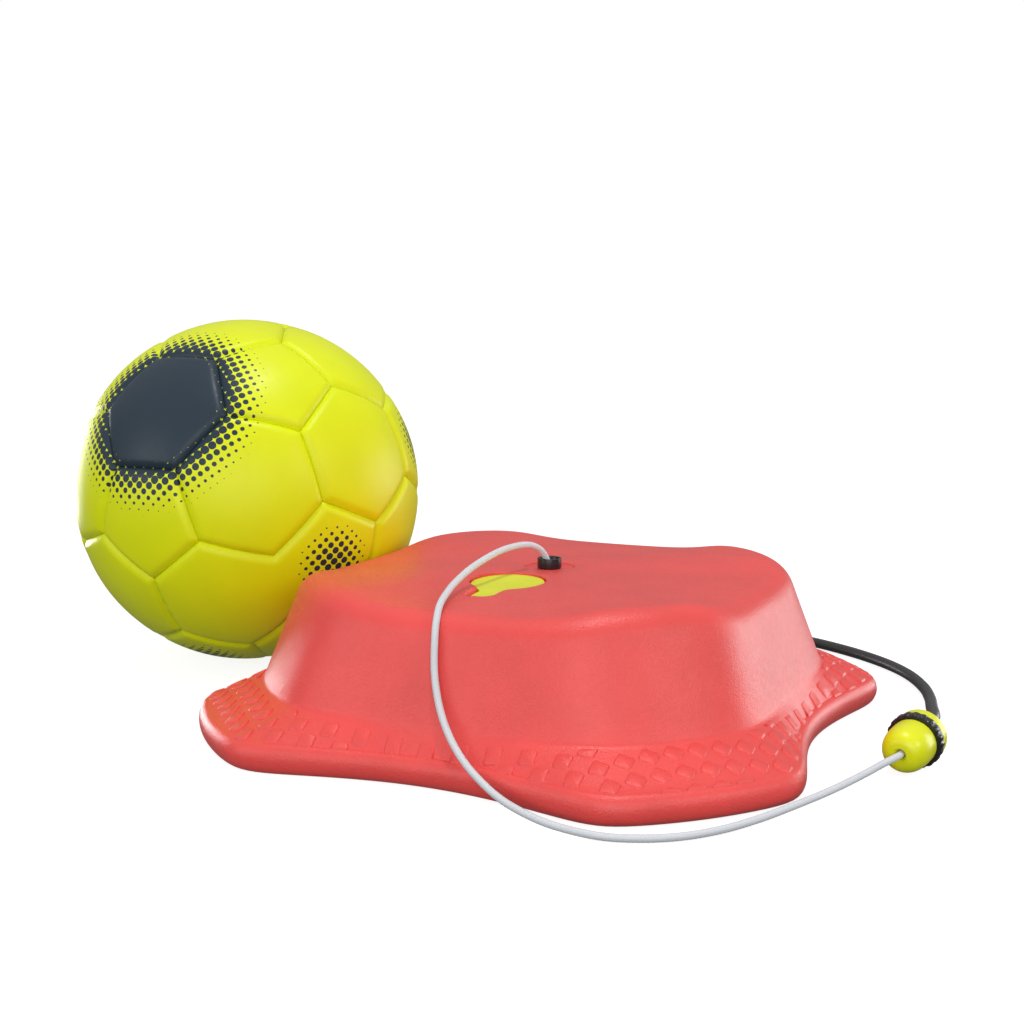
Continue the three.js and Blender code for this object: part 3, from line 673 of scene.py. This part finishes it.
ring = lathe("coupling_lock", [
    (9.2, -RING_HALF + 0.3), (9.5, -RING_HALF), (RING_R - 1.4, -RING_HALF),
    (RING_R - 0.5, -RING_HALF + 0.25), (RING_R, -RING_HALF + 0.9), (RING_R, RING_HALF - 0.9),
    (RING_R - 0.5, RING_HALF - 0.25),
    (RING_R - 1.4, RING_HALF), (9.5, RING_HALF), (9.2, RING_HALF - 0.3),
], coupling_frame(), RING_RIBS * 12, rib_wave)

# ---------------------------------------------------------------- ball

GROOVE_HALF = 5.2
RIM_POWER = 2.2
CROWN_RISE = 0.5
CROWN_WIDTH = 12
PANEL_GAP = 0.03
PANEL_ROWS = 24
ROW_SPREAD = 1.35
PRINT_REACH = 0.3
CLUSTER_REACH = 0.6
PENTAGON_CENTRES = ((37.377, 0), (79.188, 60), (100.812, 0), (142.623, 60))


def ball_faces():
    """(centre, corners) directions of the 12 five-sided and 20 six-sided faces, in the row frame."""
    fives = []
    for polar, start in PENTAGON_CENTRES:
        for step in (0, 120, 240):
            p, a = math.radians(polar), math.radians(start + step)
            fives.append(Vector((math.sin(p) * math.cos(a), math.sin(p) * math.sin(a), math.cos(p))))

    def near(a, b):
        return a is not b and a.dot(b) > 0.4

    def third(a, b):
        return (2 * a + b).normalized()

    def ordered(centre, corners):
        u = (corners[0] - centre).normalized()
        v = centre.cross(u)
        return sorted(corners, key=lambda p: math.atan2(p.dot(v), p.dot(u)))

    faces = [(c, ordered(c, [third(c, n) for n in fives if near(c, n)])) for c in fives]
    for i, a in enumerate(fives):
        for j in range(i + 1, 12):
            for k in range(j + 1, 12):
                b, c = fives[j], fives[k]
                if near(a, b) and near(b, c) and near(a, c):
                    centre = (a + b + c).normalized()
                    corners = [third(p, q) for p, q in ((a, b), (b, a), (b, c), (c, b), (c, a), (a, c))]
                    faces.append((centre, ordered(centre, corners)))
    return [(PRINT_TURNED @ c, [PRINT_TURNED @ p for p in corners]) for c, corners in faces]


def plane_basis(axis):
    """Two directions across an axis; the second points as nearly up as it can."""
    up = (Vector((0, 0, 1)) - axis * axis.z).normalized()
    return up.cross(axis), up


def flat_place(direction, axis):
    """Where a direction falls on the sheet wrapped round the ball about an axis, in millimetres."""
    u, v = plane_basis(axis)
    across = direction - axis * direction.dot(axis)
    if across.length < 1e-9:
        return 0.0, 0.0
    reach = BALL_R * math.acos(max(-1.0, min(1.0, direction.dot(axis)))) / across.length
    return across.dot(u) * reach, across.dot(v) * reach


def segment_distance(p, a, b):
    run = b - a
    t = max(0.0, min(1.0, (p - a).dot(run) / run.length_squared))
    return (p - a - run * t).length


def panel_radius(d):
    """Outside radius of the cover at a distance from the seam: a padded rim and a nearly flat crown."""
    rim = 1 - (1 - min(1.0, d / GROOVE_HALF)) ** RIM_POWER
    crown = 1 - math.exp(-d / CROWN_WIDTH)
    return SEAM_R + (BALL_R - CROWN_RISE - SEAM_R) * rim + CROWN_RISE * crown


def panel_grid(faces):
    """Directions and triangles of a panel's outside, from each face's centre out to its sides."""
    index, directions, triangles = {}, [], []

    def vertex(centre, a, b, row, k):
        out = 1 - (1 - row / PANEL_ROWS) ** ROW_SPREAD
        p = centre.lerp(a.lerp(b, k / row if row else 0), out)
        key = tuple(round(x, 5) for x in p)
        if key not in index:
            index[key] = len(directions)
            directions.append(p)
        return index[key]

    for centre, corners in faces:
        for a, b in zip(corners, corners[1:] + corners[:1]):
            for row in range(PANEL_ROWS):
                here = [vertex(centre, a, b, row, k) for k in range(row + 1)]
                next_row = [vertex(centre, a, b, row + 1, k) for k in range(row + 2)]
                triangles += [(here[k], next_row[k], next_row[k + 1]) for k in range(row + 1)]
                triangles += [(here[k], next_row[k + 1], here[k + 1]) for k in range(row)]
    return directions, triangles


def outer_sides(faces):
    """The sides of a panel's faces, without the one that two faces share."""
    sides = [(a, b) for _, corners in faces for a, b in zip(corners, corners[1:] + corners[:1])]

    def same(p, q):
        return (p - q).length < 1e-3

    return [(a, b) for a, b in sides if not any(same(a, d) and same(b, c) for c, d in sides)]


def rim_edges(triangles):
    """Edges that only one triangle has, in its direction."""
    edges = dict.fromkeys((f[i], f[(i + 1) % 3]) for f in triangles for i in range(3))
    return [(i, j) for i, j in edges if (j, i) not in edges]


def place_print(mesh, directions, middle, face):
    """Attributes that place the print and the dot cluster on a panel; the third number switches them on."""
    centre, corners = face
    printed = middle.dot(PRINT_AXIS) > PRINT_REACH
    clustered = len(corners) == 5 and centre.dot(PRINT_AXIS) < CLUSTER_REACH
    for layer, axis, shown in (("print_place", PRINT_AXIS, printed), ("panel_place", centre, clustered)):
        values = mesh.attributes.new(layer, "FLOAT_VECTOR", "POINT").data
        for i, p in enumerate(directions + directions):
            x, y = flat_place(p.normalized(), axis)
            values[i].vector = (x * MM, y * MM, 1.0 if shown else 0.0)


def build_panel(name, faces, hole=None):
    """One cover panel as a closed shell; hole is an axis and a radius."""
    directions, triangles = panel_grid(faces)
    if hole:
        axis, radius = hole
        clear = [BALL_R * math.acos(min(1, p.normalized().dot(axis))) > radius for p in directions]
        triangles = [f for f in triangles if all(clear[i] for i in f)]
    middle = sum((centre for centre, _ in faces), Vector()).normalized()
    edges = outer_sides(faces)
    outer, inner = [], []
    for p in directions:
        d = min(segment_distance(p, a, b) for a, b in edges) * BALL_R
        pulled = p + (middle - p).normalized() * (PANEL_GAP / BALL_R) if d < 1e-3 else p
        outer.append(BALL_AT + pulled.normalized() * panel_radius(d))
        inner.append(BALL_AT + pulled.normalized() * COVER_INNER_R)
    count = len(directions)
    shell = triangles + [tuple(count + i for i in reversed(f)) for f in triangles]
    shell += [(j, i, count + i, count + j) for i, j in rim_edges(triangles)]
    obj = sharpen(add_mesh(name, outer + inner, shell), 60)
    place_print(obj.data, directions, middle, faces[0])
    return obj


def node_direction(node):
    low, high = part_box(node)
    return ((low + high) / 2 / MM - BALL_AT).normalized()


DOUBLE_FACES = (Vector((0.59, -0.75, -0.3)), Vector((0, -0.84, -0.54)))
ANCHOR_HOLE = 9.2
VALVE_HOLE = 5.2


def build_ball():
    faces = ball_faces()
    double = [max(faces, key=lambda f: f[0].dot(d)) for d in DOUBLE_FACES]
    panels = []
    for node in sorted(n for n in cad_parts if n.startswith("panel_")):
        if node == "panel_double":
            chosen = double
        else:
            direction = node_direction(node)
            chosen = [max((f for f in faces if f not in double), key=lambda f: f[0].dot(direction))]
        hole = None
        if node == "panel_anchor":
            hole = (ANCHOR_AXIS, ANCHOR_HOLE)
        if node == "panel_valve":
            hole = (chosen[0][0], VALVE_HOLE)
        panels.append((build_panel("cover_" + node[6:], chosen, hole), node))
    return panels


ball_panels = build_ball()


def along_axis(axis):
    """Turns a part built along +Z from the ball's centre to point along an axis."""
    return Matrix.Translation(BALL_AT) @ Vector((0, 0, 1)).rotation_difference(axis).to_matrix().to_4x4()


anchor_cup = lathe("anchor_boss", [
    (0.8, 92.4), (9, 92.4), (9, 103.2), *arc((7.4, 104), 1.6, 0, 90, 5), (2.8, 105.6), (2.8, 98.3),
    (5.3, 98.3), (5.3, 94.2), (0.8, 94.2),
], along_axis(ANCHOR_AXIS), 48)
anchor_socket = lathe("anchor_ferrule", [
    (2.8, 105.9), (5.2, 105.9), *arc((4.9, 106.8), 0.9, -60, 0, 3), (5.8, 110), (5.5, 110.4),
    (5.5, 111), (5.8, 111.4), (5.8, 116.6), *arc((4.6, 117.7), 1.2, 0, 80, 4), (3.4, 118.9),
    (3.4, 109.2), (2.8, 109.2),
], along_axis(ANCHOR_AXIS), 48)

# ---------------------------------------------------------------- materials


class Nodes:
    """A material's node tree with short calls for the nodes that the finishes share."""

    def __init__(self, name, colour, roughness):
        self.material = bpy.data.materials.new(name)
        self.material.use_nodes = True
        self.tree = self.material.node_tree
        self.shader = self.tree.nodes["Principled BSDF"]
        self.set("Base Color", (*colour, 1))
        self.set("Roughness", roughness)

    def set(self, socket, value):
        self.shader.inputs[socket].default_value = value

    def add(self, kind, inputs=(), **settings):
        node = self.tree.nodes.new(kind)
        for key, value in settings.items():
            setattr(node, key, value)
        for socket, value in dict(inputs).items():
            self.feed(node.inputs[socket], value)
        return node

    def feed(self, socket, value):
        if isinstance(value, bpy.types.NodeSocket):
            self.tree.links.new(value, socket)
        else:
            socket.default_value = value

    def place(self):
        return self.add("ShaderNodeTexCoord").outputs["Object"]

    def noise(self, scale, detail=3, where=None):
        inputs = {"Vector": where or self.place(), "Scale": scale, "Detail": detail}
        return self.add("ShaderNodeTexNoise", inputs).outputs["Fac"]

    def math(self, operation, a, b=0.0):
        return self.add("ShaderNodeMath", {0: a, 1: b}, operation=operation).outputs[0]

    def ramp(self, value, low, high, to_low=0.0, to_high=1.0, clamp=True):
        inputs = {"Value": value, "From Min": low, "From Max": high, "To Min": to_low, "To Max": to_high}
        return self.add("ShaderNodeMapRange", inputs, clamp=clamp).outputs[0]

    def mix(self, share, a, b):
        node = self.add("ShaderNodeMix", data_type="RGBA")
        for index, value in ((0, share), (6, a), (7, b)):
            self.feed(node.inputs[index], value)
        return node.outputs[2]

    def colour(self, value):
        self.feed(self.shader.inputs["Base Color"], value)

    def rough(self, value):
        self.feed(self.shader.inputs["Roughness"], value)

    def bump(self, height, distance):
        normal = self.add("ShaderNodeBump", {"Height": height, "Distance": distance}).outputs[0]
        self.feed(self.shader.inputs["Normal"], normal)


def shade(colour, factor):
    return (*(min(1.0, c * factor) for c in colour), 1)


def moulded(name, colour, roughness, grain, depth, mottle=0.05):
    """Moulded plastic or rubber: fine grain, a slight mottle and uneven gloss."""
    n = Nodes(name, colour, roughness)
    cloudy = n.noise(35, 4)
    n.colour(n.mix(n.ramp(cloudy, 0.3, 0.7), shade(colour, 1 - mottle), shade(colour, 1 + mottle)))
    n.rough(n.ramp(n.noise(grain / 3, 3), 0.3, 0.7, roughness - 0.05, roughness + 0.05))
    n.bump(n.noise(grain, 4), depth)
    return n


RED = (0.8, 0.072, 0.065)
YELLOW = (0.76, 0.8, 0.004)
COVER = (0.745, 0.825, 0.002)
NAVY = (0.02, 0.036, 0.054)

red = moulded("red_shell", RED, 0.36, 1100, 0.00025)
yellow = moulded("yellow_moulding", YELLOW, 0.33, 1500, 0.00003, 0.03)
black = moulded("black_moulding", (0.012, 0.012, 0.014), 0.3, 1500, 0.00003, 0.15)
rubber = moulded("black_rubber_cord", (0.03, 0.031, 0.035), 0.4, 1400, 0.00004, 0.1)
steel = moulded("bright_steel", (0.6, 0.6, 0.62), 0.28, 2500, 0.00001, 0.03)
steel.set("Metallic", 1.0)
foam = moulded("foam_layer", (0.8, 0.78, 0.7), 0.9, 1200, 0.0002)
latex = moulded("bladder_latex", (0.1, 0.1, 0.1), 0.75, 600, 0.00005)


def cord_finish():
    """White braid: faint shade between strands, which the mesh itself carries."""
    colour = (0.64, 0.665, 0.7)
    n = Nodes("white_braid", colour, 0.7)
    n.colour(n.mix(n.ramp(n.noise(1800), 0.3, 0.7), shade(colour, 0.93), shade(colour, 1.04)))
    n.bump(n.noise(4200, 2), 0.00004)
    n.set("Sheen Weight", 0.2)
    return n


DOT_PITCH = 0.0068
DOT_FADE = 0.00012


def dots(n, layer, radius_at):
    """One where halftone dots are printed, in staggered rows; radius_at takes the distance squared."""
    where = n.add("ShaderNodeAttribute", attribute_name=layer).outputs["Vector"]
    across, up, printed = n.add("ShaderNodeSeparateXYZ", {0: where}).outputs
    a = n.math("DIVIDE", n.math("ADD", across, up), DOT_PITCH)
    b = n.math("DIVIDE", n.math("SUBTRACT", across, up), DOT_PITCH)
    cell_a, cell_b = n.math("ROUND", a), n.math("ROUND", b)

    def length_squared(p, q):
        both = n.math("ADD", n.math("MULTIPLY", p, p), n.math("MULTIPLY", q, q))
        return n.math("MULTIPLY", both, DOT_PITCH ** 2 / 2)

    distance = n.math("SQRT", length_squared(n.math("SUBTRACT", a, cell_a), n.math("SUBTRACT", b, cell_b)))
    radius = radius_at(length_squared(cell_a, cell_b))
    inside = n.ramp(n.math("SUBTRACT", radius, distance), -DOT_FADE, DOT_FADE)
    return n.math("MULTIPLY", inside, printed)


def print_dots(n):
    """The dark print: solid in the middle, then dots that shrink away over the panels around it."""
    full, gone = 0.037, 0.0665
    largest = DOT_PITCH / 2

    def radius_at(distance_squared):
        reach = n.math("SQRT", distance_squared)
        return n.ramp(reach, full, gone, largest, -0.0001, clamp=False)

    return dots(n, "print_place", radius_at)


def cluster_dots(n):
    """A round cluster of dots in the middle of a five-sided panel."""
    reach, largest = 0.0245, 0.0022
    return dots(n, "panel_place", lambda distance_squared: n.ramp(
        distance_squared, 0.0, reach ** 2, largest, 0.0, clamp=False))


def cover_finish():
    """Smooth padded cover with a fine pebble, the dark print and the dot clusters."""
    n = Nodes("ball_cover", COVER, 0.4)
    n.set("Specular IOR Level", 0.3)
    printed = n.math("MAXIMUM", print_dots(n), cluster_dots(n))
    ground = n.mix(n.ramp(n.noise(30), 0.3, 0.7), shade(COVER, 0.97), shade(COVER, 1.03))
    n.colour(n.mix(printed, ground, (*NAVY, 1)))
    n.rough(n.ramp(n.noise(260), 0.3, 0.7, 0.36, 0.44))
    n.bump(n.noise(1300), 0.00005)
    return n


braid_white = cord_finish()
cover = cover_finish()


def dress(obj, finish, body, nodes=()):
    """Gives a piece its finish and body, and hides the CAD nodes that it stands for."""
    obj.data.materials.clear()
    obj.data.materials.append(finish.material)
    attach(obj, body)
    if nodes:
        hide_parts(*nodes)


dress(base_body, red, "base", ["base_shell"])
dress(base_tread, red, "base")
dress(bung, yellow, "bung", ["filler_bung"])
dress(shank, yellow, "bung")
dress(collar, black, "swivel", ["swivel_collar"])
dress(plug, black, "base", ["base_plug"])
dress(white_cord, braid_white, "base", ["white_cord"])
dress(rubber_cord, rubber, "base", ["rubber_cord"])
dress(nose, yellow, "nose", ["coupling_nose"])
dress(tail, yellow, "base", ["coupling_tail"])
dress(ring, black, "lock_ring", ["coupling_ring"])
dress(anchor_cup, rubber, "ball", ["anchor_cup"])
dress(anchor_socket, black, "base", ["anchor_socket"])
for panel, node in ball_panels:
    dress(panel, cover, "ball", [node])

CARRIED = {
    "bung_seal": rubber, "swivel_washer": steel, "swivel_nut": black, "base_cord_stop": black,
    "nose_cord_stop": black, "tail_cord_stop": steel, "foam_layer": foam, "bladder": latex, "valve": rubber,
    "anchor_pin": steel,
}
for name, finish in CARRIED.items():
    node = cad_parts[name]
    node.data.materials.clear()
    node.data.materials.append(finish.material)

# ---------------------------------------------------------------- floor and light

FLOOR_REACH = 100000
FLOOR_DROP = 0.2
FLOOR_GREY = 0.35
FLOOR_GLOW = 0.86
# Brightness of the surroundings by the height of the direction, from straight down to straight up.
SURROUNDINGS = ((-1, 0.14), (-0.05, 0.18), (0.05, 0.25), (0.3, 0.32), (0.6, 0.5), (1, 0.64))


def build_floor():
    corners = [(-1, -1), (1, -1), (1, 1), (-1, 1)]
    points = [(x * FLOOR_REACH, y * FLOOR_REACH, -FLOOR_DROP) for x, y in corners]
    floor = add_mesh("floor", points, [(0, 1, 2, 3)])
    paint = moulded("pale_floor", (FLOOR_GREY, FLOOR_GREY, FLOOR_GREY), 1.0, 60, 0.0, 0.01)
    paint.set("Specular IOR Level", 0.0)
    paint.set("Emission Color", (1, 1, 1, 1))
    paint.set("Emission Strength", FLOOR_GLOW)
    floor.data.materials.append(paint.material)
    floor.visible_diffuse = False
    floor.visible_glossy = False


def studio_world():
    """A bright ceiling over dimmer sides, with a plain white backdrop."""
    world = bpy.data.worlds.new("studio")
    world.use_nodes = True
    nodes, links = world.node_tree.nodes, world.node_tree.links
    height = nodes.new("ShaderNodeSeparateXYZ")
    share = nodes.new("ShaderNodeMapRange")
    bands = nodes.new("ShaderNodeValToRGB")
    share.inputs["From Min"].default_value = -1
    while len(bands.color_ramp.elements) < len(SURROUNDINGS):
        bands.color_ramp.elements.new(0.5)
    for stop, (z, grey) in zip(bands.color_ramp.elements, SURROUNDINGS):
        stop.position = (z + 1) / 2
        stop.color = (grey, grey, grey, 1)
    links.new(nodes.new("ShaderNodeTexCoord").outputs["Generated"], height.inputs[0])
    links.new(height.outputs[2], share.inputs["Value"])
    links.new(share.outputs[0], bands.inputs[0])
    links.new(bands.outputs[0], nodes["Background"].inputs[0])
    backdrop, chosen = nodes.new("ShaderNodeBackground"), nodes.new("ShaderNodeMixShader")
    backdrop.inputs[0].default_value = (1, 1, 1, 1)
    links.new(nodes.new("ShaderNodeLightPath").outputs["Is Camera Ray"], chosen.inputs[0])
    links.new(nodes["Background"].outputs[0], chosen.inputs[1])
    links.new(backdrop.outputs[0], chosen.inputs[2])
    links.new(chosen.outputs[0], nodes["World Output"].inputs[0])
    return world


def softbox(name, direction, distance, size, radiance):
    """A rectangular light that faces the base's middle from a direction; distance and size in metres."""
    light = bpy.data.lights.new(name, "AREA")
    light.shape = "RECTANGLE"
    light.size, light.size_y = size
    light.energy = radiance * math.pi * size[0] * size[1]
    obj = bpy.data.objects.new(name, light)
    obj.location = Vector(direction).normalized() * distance
    obj.rotation_euler = (-obj.location).to_track_quat("-Z", "Y").to_euler()
    bpy.context.scene.collection.objects.link(obj)


build_floor()
bpy.context.scene.world = studio_world()
bpy.context.scene.view_settings.view_transform = "Standard"
softbox("key", (0.02, -0.05, 1), 1.7, (0.1, 0.1), 240)
softbox("front", (-0.1, -1, 0.3), 1.9, (1.7, 1.1), 2.5)
softbox("right_back", (0.9, 0.45, 0.1), 1.3, (0.8, 0.5), 4.5)
softbox("right_front", (0.68, -0.58, 0.44), 1.3, (0.4, 0.4), 5)
softbox("left_back", (-0.74, 0.78, 0.05), 1.4, (0.4, 0.35), 11)
softbox("left_front", (-0.85, -0.4, 0.3), 1.5, (0.7, 0.7), 2.2)
